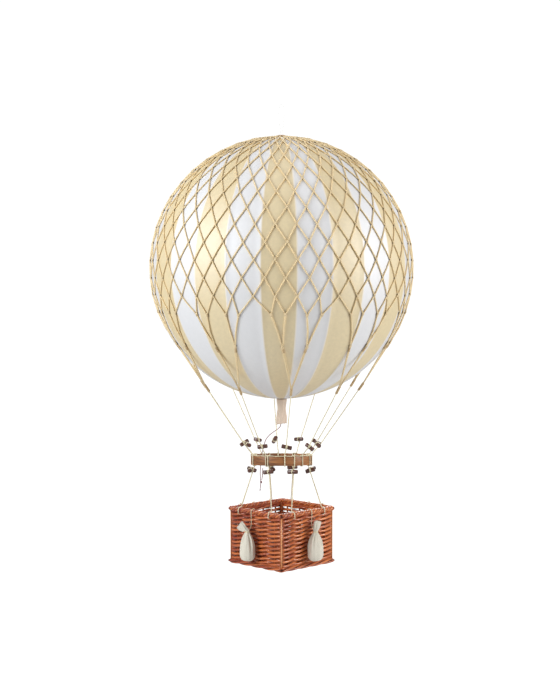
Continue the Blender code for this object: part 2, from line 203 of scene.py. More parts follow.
def cords(name, routes, radius, sides=6, closed=False, widths=None):
    """One mesh of round cords, from a bevelled curve. The UVs are metres along a cord and turns round it, and the
    attribute strand is a number from 0 to 1 that differs from cord to cord."""
    curve = bpy.data.curves.new(name, "CURVE")
    curve.dimensions = "3D"
    curve.bevel_depth = radius
    curve.bevel_resolution = sides // 2 - 2
    curve.use_fill_caps = not closed
    for number, route in enumerate(routes):
        line = curve.splines.new("POLY")
        line.points.add(len(route) - 1)
        line.points.foreach_set("co", [x for point in route for x in (*point, 1.0)])
        if widths:
            line.points.foreach_set("radius", widths[number])
        line.use_cyclic_u = closed
    holder = added(name, curve)
    mesh = bpy.data.meshes.new_from_object(holder.evaluated_get(bpy.context.evaluated_depsgraph_get()))
    bpy.data.objects.remove(holder)
    facts = []  # for each point of the mesh: metres along its cord, the cord's length, and its strand
    for number, route in enumerate(routes):
        steps = [0.0]
        for start, end in zip(route, route[1:]):
            steps.append(steps[-1] + (end - start).length)
        length = steps[-1] + ((route[0] - route[-1]).length if closed else 0.0)
        strand = (number * 0.61803) % 1.0
        facts += [(step, length, strand) for step in steps for side in range(sides)]
        if not closed:  # the curve's caps come first in the mesh, the last cord's before the others'
            facts = [(length, length, strand)] * sides + [(0.0, length, strand)] * sides + facts
    if len(facts) != len(mesh.vertices):
        raise ValueError(f"{name}: {len(mesh.vertices)} points on the mesh, and not {len(facts)}")
    along, whole, strand = np.array(facts, np.float32).T
    corner = np.empty(len(mesh.loops), np.int32)
    mesh.loops.foreach_get("vertex_index", corner)
    flat = np.empty(len(mesh.loops) * 2, np.float32)
    mesh.uv_layers[0].data.foreach_get("uv", flat)
    flat = flat.reshape(-1, 2)
    at_end = flat[:, 0] > 0.9999
    flat[:, 0] = np.where(at_end, whole[corner], along[corner])
    mesh.uv_layers[0].data.foreach_set("uv", flat.ravel())
    mesh.attributes.new("strand", "FLOAT", "POINT").data.foreach_set("value", np.ascontiguousarray(strand))
    joined = bmesh.new()
    joined.from_mesh(mesh)
    bmesh.ops.remove_doubles(joined, verts=joined.verts, dist=0.0000001)
    joined.to_mesh(mesh)
    joined.free()
    return mesh


def fitted(name, mesh, look, body="balloon", replaced=None):
    """Puts a finished mesh on its body, with its material and the CAD node that it stands for."""
    piece = added(name, mesh)
    mesh.materials.clear()
    mesh.materials.append(look)
    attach(piece, body)
    if replaced:
        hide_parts(replaced)
    return piece


def corded(name, routes, radius, look, slot, body="balloon", replaced=None, **shape):
    return fitted(name, cords(name, routes, radius, **shape), look, body, replaced)


def times(tree, first, second):
    return maths(tree, "MULTIPLY", first, second)


def diagonal(tree, *sides):
    """The length of the diagonal over two sides at right angles."""
    return maths(tree, "SQRT", maths(tree, "ADD", *(maths(tree, "POWER", side, 2.0) for side in sides)))


def ranged(tree, value, *limits):
    """Maps a value from two limits to 0 and 1, or to two more numbers."""
    return node(tree, "MapRange", value, *limits).outputs[0]


def split(tree, place):
    return node(tree, "SeparateXYZ", place).outputs


def on_object(tree):
    return node(tree, "TexCoord").outputs["Object"]


def flat_place(tree):
    return split(tree, node(tree, "UVMap").outputs[0])


def between(tree, share, first, second):
    """The colour that is a share of the way from the first to the second."""
    colours = [(*value, 1.0) if isinstance(value, tuple) else value for value in (first, second)]
    return node(tree, "Mix", share, *[None] * 5, *colours, data_type="RGBA").outputs[2]


def shared_effect(name, inputs, outputs):
    """A shader node group. Gives its tree, its input sockets and its output node."""
    tree = bpy.data.node_groups.new(name, "ShaderNodeTree")
    for label, value in inputs.items():
        kind = "NodeSocketVector" if isinstance(value, tuple) else "NodeSocketFloat"
        tree.interface.new_socket(label, in_out="INPUT", socket_type=kind).default_value = value
    for label in outputs:
        tree.interface.new_socket(label, in_out="OUTPUT", socket_type="NodeSocketFloat")
    return tree, tree.nodes.new("NodeGroupInput").outputs, tree.nodes.new("NodeGroupOutput")


def placed(tree, effect, **values):
    """Puts a shared effect in a material, with its own values."""
    made = tree.nodes.new("ShaderNodeGroup")
    made.node_tree = effect
    return feed(made, **values).outputs


def raised(tree, shader, height, distance, strength=1.0):
    feed(shader, Normal=feed(node(tree, "Bump", strength, distance), Height=height).outputs[0])


# The plies of a twisted cord, from its UVs: 1 on the crown of a ply and 0 in the groove between two. It raises the
# plies, and sets where the groove colour goes: painted shade on the one-colour cords, the pink ply on the thread
cord_lay, given, result = shared_effect("cord_lay", {"Plies": 3.0, "Pitch": 0.004}, ["Crown"])
flat = flat_place(cord_lay)
turns = times(cord_lay, flat[1], given["Plies"])
rise = maths(cord_lay, "DIVIDE", flat[0], given["Pitch"])
phase = times(cord_lay, maths(cord_lay, "ADD", turns, rise), pi)
feed(result, Crown=maths(cord_lay, "ABSOLUTE", maths(cord_lay, "SINE", phase)))

# Loose specks and fibres, from the place on the object: so many grains to the metre
specks, given, result = shared_effect("specks", {"Grains": 900.0, "Low": 0.35, "High": 0.65}, ["Amount"])
cloud = node(specks, "TexNoise", on_object(specks), None, given["Grains"], 3.0, 0.6).outputs[0]
feed(result, Amount=ranged(specks, cloud, given["Low"], given["High"]))


def twisted(name, crown, groove_colour_and_shade, plies, pitch, roughness=0.8, fuzz=0.25, painted_underside_shade=None):
    """Twisted cord, with one colour for the crowns of its plies and one for the grooves. On the two-coloured thread the
    groove colour is its pink ply; on the one-colour cords it is painted shade between the plies. A cord or knot that
    lies on the ball gets painted shade on its underside: a third, darker colour between two distances from the ball's
    centre."""
    look, tree, shader = material(name, roughness, Sheen_Weight=0.15, Sheen_Roughness=0.5)
    lay = placed(tree, cord_lay, Plies=plies, Pitch=pitch)["Crown"]
    grime = placed(tree, specks, Grains=350.0)["Amount"]
    # the groove colour: painted shade between the plies of a one-colour cord, and the pink ply on the thread
    colour = between(tree, lay, groove_colour_and_shade, crown)
    colour = between(tree, times(tree, grime, fuzz), colour, tuple(0.6 * x for x in crown))
    # painted shade on the underside of a cord or knot, next to the paper
    if painted_underside_shade:
        centred = node(tree, "VectorMath", on_object(tree), (0.0, 0.0, -BALL_Z)).outputs[0]
        reach = node(tree, "VectorMath", centred, operation="LENGTH").outputs["Value"]
        colour = between(tree, ranged(tree, reach, *painted_underside_shade[1:]), painted_underside_shade[0], colour)
    feed(shader, Base_Color=colour)
    raised(tree, shader, lay, 0.00012)
    return look


BURGUNDY, PINK = (0.13, 0.008, 0.016), (0.42, 0.15, 0.17)
thread = twisted("red_and_pink_thread", BURGUNDY, PINK, 1.0, 0.0021, 0.7, 0.1)

valve_route, tail_route = [smooth_route([from_centre(*point) for point in points], 0.0010)
                           for points in (VALVE_ROUTE, VALVE_TAIL_ROUTE)]
valve = corded("valve_thread", [valve_route], VALVE_CORD / 2, thread, "red_thread", replaced="valve_line", sides=10)
tail = corded("valve_thread_tail", [tail_route], VALVE_CORD / 2, thread, "red_thread", replaced="valve_line_tail",
              sides=10)

# the knot is one small overhand loop round both threads, and under it the ends fan out
KNOT_TURNS, KNOT_R, KNOT_HALF = 2.25, 0.0009, 0.0011
knot_centre, rise = from_centre(-0.0247, 0.0216, -0.2587), Vector((0.0, 0.0, KNOT_HALF))
loop = wound(knot_centre - rise, knot_centre + rise, Vector((KNOT_R, 0, 0)), Vector((0, KNOT_R, 0)), KNOT_TURNS, 35)
fray = random.Random(4)
ends = []
for _ in range(7):
    side = Vector((fray.uniform(-1, 1), fray.uniform(-1, 1), 0.0)) * 0.0011
    ends.append([valve_route[-1], valve_route[-1] + side * 0.4 - Vector((0, 0, 0.0014)),
                 valve_route[-1] + side - Vector((0, 0, fray.uniform(0.0022, 0.0034)))])
knot = corded("valve_thread_knot", [loop], 0.00042, thread, "red_thread", sides=8)
end = corded("valve_thread_end", ends, 0.00016, thread, "red_thread")

# The ball: 24 gores of pearly paper, cream and white in turn, pasted on a hollow mould and lapped at narrow seams.
# The seams stand up a little and show as a thin paler line. The mouth at the bottom is open for the neck.

BALL_R = 0.1585
BALL_WALL = 0.003
GORES = 24
GORE_EDGE_DEG = -8.6  # azimuth of a seam, from the front corner's direction towards the viewer's right
SEAM_HALF_DEG = 0.50  # the raised lap ends here, on each side of a seam
SEAM_EDGE_DEG = 0.64
SEAM_RISE = 0.00012
MOUTH_DEG = 1.735  # from straight down to the mouth's edge
CREAM = (0.80, 0.635, 0.33)
WHITE = (0.79, 0.79, 0.81)
SEAM = (0.88, 0.80, 0.70)
FIBRE = (0.60, 0.50, 0.36)

gore_deg = 360.0 / GORES
columns = (0.0, SEAM_HALF_DEG, SEAM_EDGE_DEG, 3.0, 5.3, 7.5, 9.7, 12.0, gore_deg - SEAM_EDGE_DEG,
           gore_deg - SEAM_HALF_DEG)
around = GORES * len(columns)
ball = bmesh.new()
bmesh.ops.create_uvsphere(ball, u_segments=around, v_segments=90, radius=BALL_R)
for vert in ball.verts[:]:
    level = hypot(vert.co.x, vert.co.y)
    if level < 0.0001:
        if vert.co.z < 0:
            ball.verts.remove(vert)
        continue
    column = round(atan2(vert.co.y, vert.co.x) / tau * around) % around
    gore, place_in_gore = divmod(column, len(columns))
    azimuth = radians(FRONT_DEG + GORE_EDGE_DEG + gore * gore_deg + columns[place_in_gore])
    lift = 1.0 + (SEAM_RISE / BALL_R if place_in_gore in (0, 1, len(columns) - 1) else 0.0)
    drop = atan2(vert.co.z, level)
    if drop < radians(-87.5):  # the lowest ring is the mouth's edge
        drop = radians(MOUTH_DEG - 90.0)
    vert.co = BALL_R * lift * Vector((cos(drop) * cos(azimuth), cos(drop) * sin(azimuth), sin(drop)))
bmesh.ops.translate(ball, verts=ball.verts, vec=(0.0, 0.0, BALL_Z))

pearl, tree, shader = material("pearl_paper", 0.45, Coat_Weight=1.0, Coat_Roughness=0.62, Coat_IOR=2.7)
spot = split(tree, on_object(tree))
azimuth = maths(tree, "DEGREES", maths(tree, "ARCTAN2", spot[1], spot[0]))
counted = maths(tree, "DIVIDE", maths(tree, "SUBTRACT", azimuth, FRONT_DEG + GORE_EDGE_DEG - 720.0), gore_deg)
odd = maths(tree, "GREATER_THAN", maths(tree, "MODULO", counted, 2.0), 1.0)
in_gore = maths(tree, "FRACT", counted)
to_seam = maths(tree, "MINIMUM", in_gore, maths(tree, "SUBTRACT", 1.0, in_gore))
metres = times(tree, times(tree, to_seam, radians(gore_deg)), diagonal(tree, *spot[:2]))
at_seam = node(tree, "MapRange", metres, 0.0004, 0.0013, 0.75, 0.0, interpolation_type="SMOOTHSTEP").outputs[0]
mottle = placed(tree, specks, Grains=260.0, Low=0.30, High=0.72)["Amount"]
fibre = placed(tree, specks, Grains=1500.0, Low=0.38, High=0.66)["Amount"]
cream = between(tree, mottle, CREAM, tuple(x * 0.90 for x in CREAM))
white = between(tree, mottle, WHITE, tuple(x * 0.97 for x in WHITE))
paper = between(tree, at_seam, between(tree, odd, cream, white), SEAM)
paper = between(tree, times(tree, fibre, 0.05), paper, FIBRE)
feed(shader, Base_Color=paper, Roughness=ranged(tree, mottle, 0.0, 1.0, 0.50, 0.62))
raised(tree, shader, maths(tree, "ADD", fibre, mottle), 0.00004, 0.4)

papered = fitted("papered_ball", smooth_mesh("papered_ball", ball), pearl, replaced="envelope")
wall = papered.modifiers.new("Wall", "SOLIDIFY")
wall.thickness = BALL_WALL
wall.offset = -1.0

# The net: tan waxed cord, knotted by hand from a head ring at the crown down to ten crow's feet. Each crow's foot
# draws four meshes into two doubled legs, which end in a whipping where the stay begins.

NET_CORD = 0.0016
NET_R = BALL_R + NET_CORD / 2 + 0.00005
NET_MESHES = 40
NET_ROWS = 13
NET_LOWEST_DEG = -11.3
NET_ROW_STEP_DEG = 7.37
HEAD_RING_R = 0.0085
GROUPS = 10
FOOT_AZIMUTHS = [6.5 + 360 / GROUPS * group for group in range(GROUPS)]  # the crow's feet, from the front corner
STAY_JOIN = (0.100, -0.140)  # distance from the axis, and up from the ball's centre
STAY_TOGGLE = (0.0475, -0.2152)
HALF_MESH = 180 / NET_MESHES
# Elevation of each step of a crow's foot, and its strands' azimuths counted from the foot's own
FOOT_KNOTS = (-19.1, (-10.8, -4.7, 4.7, 10.8))
FOOT_MIDDLES = (-26.8, (-8.2, -5.5, 5.5, 8.2))
FOOT_STRANDS = (-34.1, (-5.9, 5.9))
FOOT_GIRTH = 1.25  # the crow's feet are of thicker cord than the meshes
KNOT_SIZE = (0.00145, 0.00200, 0.00120)  # half a knot's width, height and thickness
WHIP_PITCH = 0.00095
# the GROOVE colours are painted shade between the plies, and the UNDER colours painted shade under the net's cords and
# knots, next to the paper
TAN, TAN_GROOVE_SHADE, TAN_UNDER_SHADE = (0.98, 0.81, 0.51), (0.76, 0.53, 0.24), (0.62, 0.40, 0.14)
KNOT_TAN, KNOT_GROOVE_SHADE, KNOT_UNDER_SHADE = (0.97, 0.79, 0.50), (0.50, 0.33, 0.14), (0.16, 0.10, 0.040)
WHIP_TAN, WHIP_GROOVE_SHADE = (0.78, 0.58, 0.33), (0.36, 0.24, 0.11)


def polar(azimuth, radius, height):
    """A point by its azimuth in degrees from the front, its distance from the axis, and up from the ball's centre."""
    turn = radians(FRONT_DEG + azimuth)
    return Vector((radius * cos(turn), radius * sin(turn), BALL_Z + height))


hand = random.Random(11)


def on_ball(azimuth, elevation, loose=0.0, radius=NET_R):
    azimuth += hand.uniform(-loose, loose)
    elevation += hand.uniform(-loose, loose) * 0.7
    return polar(azimuth, radius * cos(radians(elevation)), radius * sin(radians(elevation)))


def laid(start, end, steps=4):
    """A cord pulled tight over the ball between two points on it, a little proud at its knots."""
    first, last = (start - ball_centre).normalized(), (end - ball_centre).normalized()
    return [ball_centre + first.slerp(last, step / steps) * (NET_R + 0.0003 * abs(2 * step / steps - 1) ** 3)
            for step in range(steps + 1)]


ball_centre = Vector((0.0, 0.0, BALL_Z))
rows = [[on_ball(FOOT_AZIMUTHS[0] + HALF_MESH * (row % 2) + 2 * HALF_MESH * mesh,
                 NET_LOWEST_DEG + NET_ROW_STEP_DEG * row, 0.40)
         for mesh in range(NET_MESHES)] for row in range(NET_ROWS)]
strands, feet_strands, knots = [], [], [(point, 1.0) for row in rows for point in row]
for row in range(NET_ROWS - 1):
    for mesh in range(NET_MESHES):
        other = mesh - 1 if row % 2 == 0 else mesh + 1
        strands.append(laid(rows[row][mesh], rows[row + 1][mesh]))
        strands.append(laid(rows[row][mesh], rows[row + 1][other % NET_MESHES]))
ring_rise = 90 - HEAD_RING_R / NET_R * 180 / pi
for pair in range(NET_MESHES // 2):
    hook = on_ball(FOOT_AZIMUTHS[0] + HALF_MESH * (4 * pair + 1), ring_rise)
    strands += [laid(rows[-1][2 * pair], hook), laid(rows[-1][2 * pair + 1], hook)]
    knots.append((hook, 0.85))
legs, seized = [], []
for group, azimuth in enumerate(FOOT_AZIMUTHS):
    low = [rows[0][(4 * group + i) % NET_MESHES] for i in (-2, -1, 0, 1, 2)]
    feet = [on_ball(azimuth + turn, FOOT_KNOTS[0], 0.3) for turn in FOOT_KNOTS[1]]
    middles = [on_ball(azimuth + turn, FOOT_MIDDLES[0]) for turn in FOOT_MIDDLES[1]]
    sides = [on_ball(azimuth + turn, FOOT_STRANDS[0], 0.2) for turn in FOOT_STRANDS[1]]
    join = polar(azimuth, *STAY_JOIN)
    for number, foot in enumerate(feet):
        strands += [laid(low[number], foot), laid(low[number + 1], foot)]
        feet_strands.append(laid(foot, middles[number], 3) + laid(middles[number], sides[number // 2], 3)[1:])
    knots += [(foot, 1.25) for foot in feet] + [(side, 1.35) for side in sides]
    across = (polar(azimuth + 90, 1.0, 0.0) - ball_centre).normalized()
    for side in sides:
        seized.append((side.lerp(join, 0.03), side.lerp(join, 0.13)))
        for offset in (across * -0.00062, across * 0.00062):
            middle = side.lerp(join, 0.5) + offset * 0.9
            legs.append([side, side.lerp(join, 0.12) + offset, middle, join + offset * 0.3])

# the net cords' undersides, next to the paper, get painted shade
tan_cord = twisted("tan_net_cord", TAN, TAN_GROOVE_SHADE, 3.0, 0.0030, painted_underside_shade=(TAN_UNDER_SHADE, NET_R - 0.0008, NET_R - 0.0002))
girths = [[girth] * len(route) for routes, girth in ((strands, 1.0), (feet_strands, FOOT_GIRTH), (legs, 1.0))
          for route in routes]
corded("netting", strands + feet_strands + legs, NET_CORD / 2, tan_cord, "tan_cord", replaced="net", widths=girths)

# a netting knot is a small lump, longer up and down, with the crossed turns of the cord on it
lumps = bmesh.new()
uv_layer = lumps.loops.layers.uv.new("UVMap")
for point, size in knots:
    outwards = (point - ball_centre).normalized()
    upwards = (Vector((0, 0, 1)) - outwards * outwards.z).normalized()
    sideways = upwards.cross(outwards)
    basis = Matrix((sideways, upwards, outwards)).transposed().to_4x4()
    swing = Matrix.Rotation(hand.uniform(-0.25, 0.25), 4, "Z")
    stretch = Matrix.Diagonal([half * size for half in KNOT_SIZE] + [1.0])
    place = Matrix.Translation(point + outwards * 0.00018) @ basis @ swing @ stretch
    made = bmesh.ops.create_icosphere(lumps, subdivisions=2, radius=1.0, matrix=place)
    for vert in made["verts"]:
        local = vert.co - point
        turn = atan2(local.dot(outwards), local.dot(sideways))
        vert.co += local * 0.10 * sin(2 * turn + local.dot(upwards) / 0.0006)
    for face in {face for vert in made["verts"] for face in vert.link_faces}:
        for corner in face.loops:
            local = corner.vert.co - point
            corner[uv_layer].uv = (local.dot(upwards) + local.dot(sideways) * 0.8, 0.25)
# the knots' lower halves, next to the paper, are darkened as painted shade
knot_look = twisted("tan_net_knots", KNOT_TAN, KNOT_GROOVE_SHADE, 2.0, 0.0011, painted_underside_shade=(KNOT_UNDER_SHADE, NET_R, NET_R + 0.0008))
fitted("netting_knots", smooth_mesh("netting_knots", lumps), knot_look, replaced="net")


def whipping(start, end, radius):
    """Cord wound tightly round the line from start to end."""
    along = end - start
    side = along.orthogonal().normalized()
    turns = along.length / WHIP_PITCH
    return wound(start, end, side * radius, along.normalized().cross(side) * radius, turns, max(8, round(turns * 9)))


# whippings at the crow's feet, and the head ring, three rounds of cord on which the pairs are hitched
whippings = [whipping(start, end, 0.0011) for start, end in seized]
for azimuth in FOOT_AZIMUTHS:
    join = polar(azimuth, *STAY_JOIN)
    line = (polar(azimuth, *STAY_TOGGLE) - join).normalized()
    whippings.append(whipping(join - line * 0.002, join + line * 0.0085, 0.0012))
for number in (-1, 0, 1):
    radius, rise = HEAD_RING_R + 0.0007 * number, BALL_R + 0.0012 - 0.0003 * abs(number)
    whippings.append([polar(360 * step / 64, radius, rise - radius ** 2 / 2 / BALL_R) for step in range(65)])
whip_cord = twisted("whipping_cord", WHIP_TAN, WHIP_GROOVE_SHADE, 2.0, 0.0022)
corded("crows_foot_whippings", whippings, 0.0005, whip_cord, "tan_cord")

# The crown: a small turned button over the head ring, and a loop of clear line that the model hangs by.
# Both keep the CAD's shape.


def carried(name, look):
    """Gives a CAD node that keeps its shape a material."""
    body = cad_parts[name]
    body.data.materials.clear()
    body.data.materials.append(look)


# Wood grain: so many streaks to the metre, long along the first axis of the given place and fine across it
wood_grain, given, result = shared_effect(
    "wood_grain", {"Place": (0.0, 0.0, 0.0), "Streaks": 1400.0, "Stretch": 0.06}, ["Streak", "Band"])
squeeze = node(wood_grain, "CombineXYZ", given["Stretch"], 1.0, 1.0).outputs[0]
scaled = node(wood_grain, "VectorMath", given["Place"], squeeze, operation="MULTIPLY").outputs[0]
fine = node(wood_grain, "TexNoise", scaled, None, given["Streaks"], 3.0, 0.65).outputs[0]
wider = times(wood_grain, given["Streaks"], 0.22)
broad = node(wood_grain, "TexNoise", scaled, None, wider, 2.0, 0.5).outputs[0]
feed(result, Streak=ranged(wood_grain, fine, 0.34, 0.66), Band=ranged(wood_grain, broad, 0.36, 0.64))

GRAIN_R = 0.0378  # distance from the axis at which the grain round it keeps its length


def round_the_axis(tree):
    """Metres round the balloon's axis, up, and out, for grain that follows a hoop."""
    spot = split(tree, on_object(tree))
    turn = times(tree, maths(tree, "ARCTAN2", spot[1], spot[0]), GRAIN_R)
    return node(tree, "CombineXYZ", turn, spot[2], diagonal(tree, *spot[:2])).outputs[0]


def wooden(name, light, dark, roughness, place_of, streaks=1400.0, stretch=0.06, **sockets):
    """Wood in two browns, mixed by its streaks and bands, with the streaks a little raised."""
    look, tree, shader = material(name, roughness, **sockets)
    grain = placed(tree, wood_grain, Place=place_of(tree), Streaks=streaks, Stretch=stretch)
    share = maths(tree, "ADD", times(tree, grain["Streak"], 0.55), times(tree, grain["Band"], 0.45))
    gloss = ranged(tree, grain["Streak"], 0.0, 1.0, roughness + 0.12, roughness - 0.06)
    feed(shader, Base_Color=between(tree, share, dark, light), Roughness=gloss)
    raised(tree, shader, grain["Streak"], 0.00010, 0.6)
    return look


hoop_wood = wooden("bent_hoop_wood", (0.50, 0.205, 0.064), (0.095, 0.029, 0.009), 0.45, round_the_axis,
                   Coat_Weight=0.15, Coat_Roughness=0.25)
carried("crown_button", hoop_wood)

clear, tree, shader = material("clear_line", 0.08, IOR=1.5, Alpha=0.45)
tint = placed(tree, specks, Grains=500.0)["Amount"]
feed(shader, Base_Color=between(tree, tint, (0.93, 0.94, 0.92), (0.86, 0.87, 0.85)))
carried("hanging_loop", clear)

# The neck: a short tube of fine beige cloth, gathered into the ball's mouth, and left open and a little ragged
# below. Its cloth is a plain weave.

NECK_R = 0.0056
NECK_BOTTOM = -0.190
NECK_TOP = -BALL_R - 0.0006


def bent_cloth(columns, rows, size, place_of):
    """A flat piece of cloth bent to shape, and joined at its sides. place_of gives a point's place from its shares
    across and along, and the UVs are metres on the flat cloth."""
    cloth = bmesh.new()
    bmesh.ops.create_grid(cloth, x_segments=columns, y_segments=rows, size=0.5)
    uv_layer = cloth.loops.layers.uv.new("UVMap")
    for face in cloth.faces:
        for corner in face.loops:
            corner[uv_layer].uv = ((corner.vert.co.x + 0.5) * size[0], (corner.vert.co.y + 0.5) * size[1])
    for vert in cloth.verts:
        vert.co = place_of(vert.co.x + 0.5, vert.co.y + 0.5)
    bmesh.ops.remove_doubles(cloth, verts=cloth.verts, dist=0.000002)
    bmesh.ops.recalc_face_normals(cloth, faces=cloth.faces)
    return cloth


# Plain weave, from a cloth's UVs: 1 on top of a thread and 0 in the hole between four
plain_weave, given, result = shared_effect("plain_weave", {"Threads": 1800.0}, ["Thread"])
warp, weft = [maths(plain_weave, "SINE", times(plain_weave, times(plain_weave, axis, given["Threads"]), pi))
              for axis in flat_place(plain_weave)[:2]]
feed(result, Thread=ranged(plain_weave, times(plain_weave, warp, weft), -1.0, 1.0))


def woven(name, light, shade_and_patches, threads):
    """A plain woven cloth with painted shade in the holes between its threads, and a slightly uneven colour."""
    look, tree, shader = material(name, 0.9, Sheen_Weight=0.2, Sheen_Roughness=0.5)
    thread_top = placed(tree, plain_weave, Threads=threads)["Thread"]
    patch = placed(tree, specks, Grains=120.0, Low=0.35, High=0.65)["Amount"]
    slub = placed(tree, specks, Grains=900.0, Low=0.4, High=0.7)["Amount"]
    # painted shade in the holes between the threads; patches and slubs darken the cloth at random
    colour = between(tree, thread_top, shade_and_patches, light)
    colour = between(tree, times(tree, patch, 0.18), colour, shade_and_patches)
    feed(shader, Base_Color=between(tree, times(tree, slub, 0.15), colour, shade_and_patches))
    raised(tree, shader, maths(tree, "ADD", thread_top, times(tree, slub, 0.5)), 0.00010, 0.7)
    return look


def neck_point(across, along):
    turn = tau * across
    drop = NECK_TOP + (NECK_BOTTOM - NECK_TOP) * along
    gather = 1.10 - 0.22 * sin(pi * min(1.0, along * 1.3)) ** 2 + 0.06 * along
    folds = (0.05 + 0.03 * along) * sin(5 * turn + 1.2 * along) + 0.03 * sin(9 * turn - 2.0 * along)
    radius = NECK_R * gather * (1.0 + folds)
    hem = along ** 6 * (0.0011 * sin(turn + 0.6) + 0.0003 * sin(7 * turn))
    return from_centre(radius * sin(turn), radius * cos(turn), drop + hem)


NECK_CLOTH = (0.035, 0.031)
neck_mesh = smooth_mesh("neck_tube", bent_cloth(64, 26, NECK_CLOTH, neck_point))
neck_look = woven("neck_cloth", (0.92, 0.78, 0.65), (0.70, 0.54, 0.42), 2600.0)
neck = fitted("neck_tube", neck_mesh, neck_look, replaced="neck")
thick = neck.modifiers.new("Cloth", "SOLIDIFY")
thick.thickness = 0.0004
thick.offset = -1.0

# The hoop: a strip of wood bent into a ring, with a light cord laid along its upper outer edge. The stays are
# hitched round it from above and the basket's lines from below.

HOOP_R = 0.0375
HOOP_WALL = 0.0030
HOOP_HEIGHT = 0.0118
HOOP_MIDDLE = -0.2340
HOOP_TILT_DEG = 4.5  # the viewer's side hangs higher
# the second pale colour is painted shade between the plies
PALE, PALE_GROOVE_SHADE = (0.94, 0.86, 0.62), (0.66, 0.58, 0.37)


def mirrored(profile):
    return [(radius, -height) for radius, height in reversed(profile)]


def turned(name, profile, steps, place, sharp_deg, look, replaced):
    """A closed piece turned about Z from a profile of radius and height, and set in its place."""
    shape = bmesh.new()
    points = [shape.verts.new((radius, 0.0, height)) for radius, height in profile]
    for start, end in zip(points, points[1:]):
        shape.edges.new((start, end))
    bmesh.ops.spin(shape, geom=shape.verts[:] + shape.edges[:], cent=(0, 0, 0), axis=(0, 0, 1), angle=tau,
                   steps=steps, use_merge=True)
    bmesh.ops.remove_doubles(shape, verts=shape.verts, dist=0.00001)
    bmesh.ops.recalc_face_normals(shape, faces=shape.faces)
    bmesh.ops.transform(shape, matrix=place, verts=shape.verts)
    mesh = smooth_mesh(name, shape)
    mesh.set_sharp_from_angle(angle=radians(sharp_deg))
    fitted(name, mesh, look, replaced=replaced)


hoop_centre = from_centre(0.0, 0.0, HOOP_MIDDLE)
tilt = Matrix.Rotation(radians(-HOOP_TILT_DEG), 3, from_centre(1.0, 0.0, -BALL_Z))


def on_hoop(radius, azimuth, height):
    """A point by its distance from the tilted hoop's axis, its azimuth, and its height over the hoop's middle."""
    return hoop_centre + tilt @ (polar(azimuth, radius, HOOP_MIDDLE + height) - hoop_centre)


inside, top, edge = HOOP_R - HOOP_WALL, HOOP_HEIGHT / 2, 0.0005
upper = [(inside + edge, top), (HOOP_R - edge, top), (HOOP_R - edge * 0.3, top - edge * 0.3), (HOOP_R, top - edge)]
hoop_profile = [*upper, *mirrored(upper), (inside, edge - top), (inside, top - edge), upper[0]]
hoop_place = Matrix.Translation(hoop_centre) @ tilt.to_4x4()
turned("bent_hoop", hoop_profile, 96, hoop_place, 50, hoop_wood, "hoop")

pale_cord = twisted("pale_cord", PALE, PALE_GROOVE_SHADE, 3.0, 0.0030)
edging = [on_hoop(HOOP_R + 0.0003, 360 * step / 120, top - 0.0001 + 0.0002 * sin(step * 0.9)) for step in range(120)]
corded("hoop_edging", [edging], 0.00048, pale_cord, "pale_cord", closed=True)

# Stays and toggles: pale cord from each whipping down to the eye round a wooden toggle, then down to the hoop
# and once round it. The toggles are dark stained sticks with a shallow neck in the middle for the cord.

STAY_CORD = 0.0012
STAY_START = 0.0042
TOGGLE_LENGTH = 0.0110
TOGGLE_R = 0.00235
TOGGLE_WAIST = 0.00055
STAY_TOGGLE_TURNS = (20, 75, -35, -60, 10, 80, -20, 55, 5, -15)
HITCH_STEP_DEG = 1.9  # how far one turn of a hitch lies from the next, round the hoop
EYE_TURNS, EYE_WIDTH = 1.5, 0.0015


def hitch(azimuth, from_top, clearance=0.00062):
    """Cord once round the hoop's section: down outside, under it, up inside and over the top, or the other way up."""
    out, back, rise, cut = HOOP_R + clearance, inside - clearance, top + clearance, 0.0006
    section = [(out - cut, rise), (out, rise - cut), (out, cut - rise), (out - cut, -rise),
               (back + cut, -rise), (back, cut - rise), (back, rise - cut), (back + cut, rise), (out - cut, rise)]
    return [on_hoop(radius, azimuth + HITCH_STEP_DEG * (step / 8 - 0.5), height if from_top else -height)
            for step, (radius, height) in enumerate(section)]


def toggle_place(cord_start, cord_end, share, turn):
    """Where a toggle lies: its centre, its long axis, and the side of the cord that it is on."""
    along = (cord_end - cord_start).normalized()
    level = Vector((0.0, 0.0, 1.0)).cross(along).normalized()
    axis = Matrix.Rotation(radians(turn), 3, along) @ level
    side = along.cross(axis).normalized()
    centre = cord_start.lerp(cord_end, share) + side * (TOGGLE_R + STAY_CORD / 2 + 0.0003)
    return centre, axis, side


def eye(centre, axis, side):
    """Cord round a toggle's waist, beginning on the given side."""
    radius, half = TOGGLE_R + 0.00015, axis * (EYE_WIDTH / 2)
    return wound(centre - half, centre + half, side * radius, axis.cross(side) * radius, EYE_TURNS, 30)


def toggle_stick(name, centre, axis, seed, replaced):
    """A cut stick with softened ends and a waist, turned along its axis."""
    cut = random.Random(seed)
    half = TOGGLE_LENGTH / 2 * cut.uniform(1.04, 1.14)
    thick = TOGGLE_R * cut.uniform(1.02, 1.10)
    waist = thick - TOGGLE_WAIST
    profile = [(0.0, -half), (thick - 0.0004, -half), (thick - 0.0001, -half + 0.0001), (thick, -half + 0.0004),
               (thick, -0.0015), (waist, -0.0010)]
    place = Matrix.Translation(centre) @ axis.to_track_quat("Z", "Y").to_matrix().to_4x4()
    turned(name, profile + mirrored(profile), 20, place, 45, toggle_wood, replaced)


